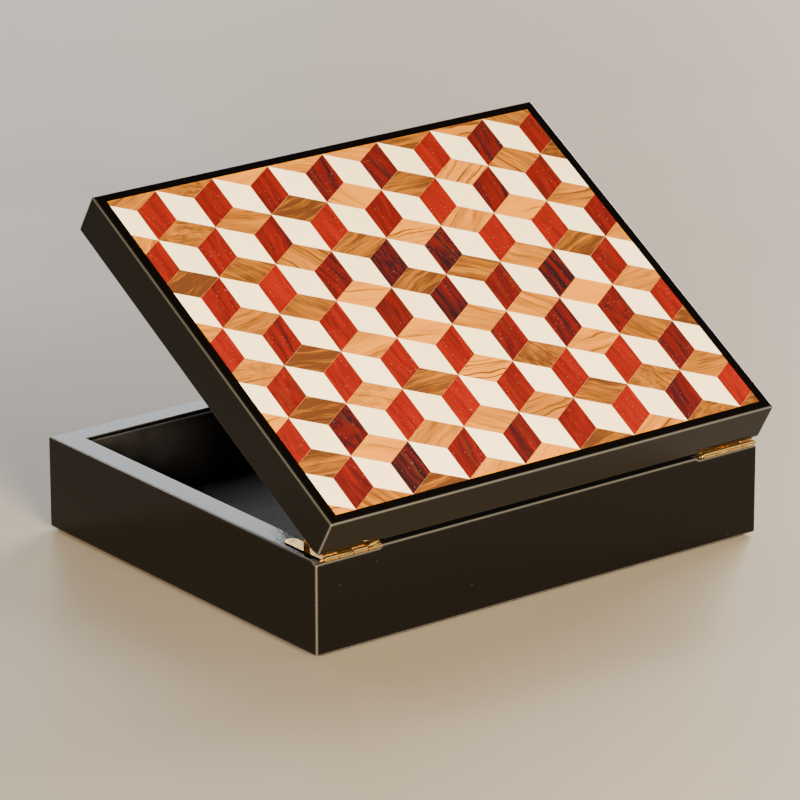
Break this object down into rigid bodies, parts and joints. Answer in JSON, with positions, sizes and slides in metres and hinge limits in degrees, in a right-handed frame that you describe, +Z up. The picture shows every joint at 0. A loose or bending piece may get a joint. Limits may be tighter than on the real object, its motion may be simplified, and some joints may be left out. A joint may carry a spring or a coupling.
{
  "type": "hinged keepsake box",
  "caption": "Rectangular black lacquered keepsake box with a velvet-lined tray, a marquetry lid of tumbling blocks, and brass quadrant hinges with curved stays.",
  "frame": {"origin": "middle of the box's underside, on the surface that it stands on", "axes": "+Z up; the front faces -Y and the hinges are at +Y; +X is the right side as seen from the front"},
  "size_m": [0.24, 0.2062, 0.1615],
  "materials": {
    "black_lacquer": "gloss",
    "plain_wood": "matte",
    "marquetry": "gloss",
    "black_velvet": "matte",
    "black_felt": "matte",
    "brass": "polished"
  },
  "bodies": {
    "base": {"base_wall_left": "black_lacquer", "base_wall_right": "black_lacquer", "base_wall_front": "black_lacquer", "base_wall_rear": "black_lacquer", "base_bottom_panel": "plain_wood", "base_underside_felt": "black_felt", "base_lining_left": "black_velvet", "base_lining_right": "black_velvet", "base_lining_front": "black_velvet", "base_lining_rear": "black_velvet", "base_floor_pad": "black_velvet", "base_hinge_leaf_left": "brass", "base_hinge_leaf_right": "brass", "base_hinge_screw_left_1": "brass", "base_hinge_screw_left_2": "brass", "base_hinge_screw_left_3": "brass", "base_hinge_screw_right_1": "brass", "base_hinge_screw_right_2": "brass", "base_hinge_screw_right_3": "brass", "hinge_pin_left": "brass", "hinge_pin_right": "brass"},
    "lid": {"lid_rail_left": "black_lacquer", "lid_rail_right": "black_lacquer", "lid_rail_front": "black_lacquer", "lid_rail_rear": "black_lacquer", "lid_panel": "plain_wood", "lid_marquetry": "marquetry", "lid_lining": "black_velvet", "lid_hinge_leaf_left": "brass", "lid_hinge_leaf_right": "brass", "lid_hinge_screw_left_1": "brass", "lid_hinge_screw_left_2": "brass", "lid_hinge_screw_left_3": "brass", "lid_hinge_screw_right_1": "brass", "lid_hinge_screw_right_2": "brass", "lid_hinge_screw_right_3": "brass"},
    "stay_left": {"quadrant_stay_left": "brass"},
    "stay_right": {"quadrant_stay_right": "brass"}
  },
  "joints": [
    {"name": "lid_hinge", "type": "hinge", "parent": "base", "child": "lid", "pos_m": [0, 0.0992, 0.04405], "axis": [-1, 0, 0], "range_deg": [-30.5, 64.5]},
    {"name": "stay_left_swing", "type": "hinge", "parent": "base", "child": "stay_left", "pos_m": [-0.11355, 0.0992, 0.04405], "axis": [-1, 0, 0], "range_deg": [-15.25, 32.25]},
    {"name": "stay_right_swing", "type": "hinge", "parent": "base", "child": "stay_right", "pos_m": [0.11355, 0.0992, 0.04405], "axis": [-1, 0, 0], "range_deg": [-15.25, 32.25]}
  ],
  "couplings": [
    {"joint": "stay_left_swing", "follows": "lid_hinge", "ratio": 0.5},
    {"joint": "stay_right_swing", "follows": "lid_hinge", "ratio": 0.5}
  ]
}
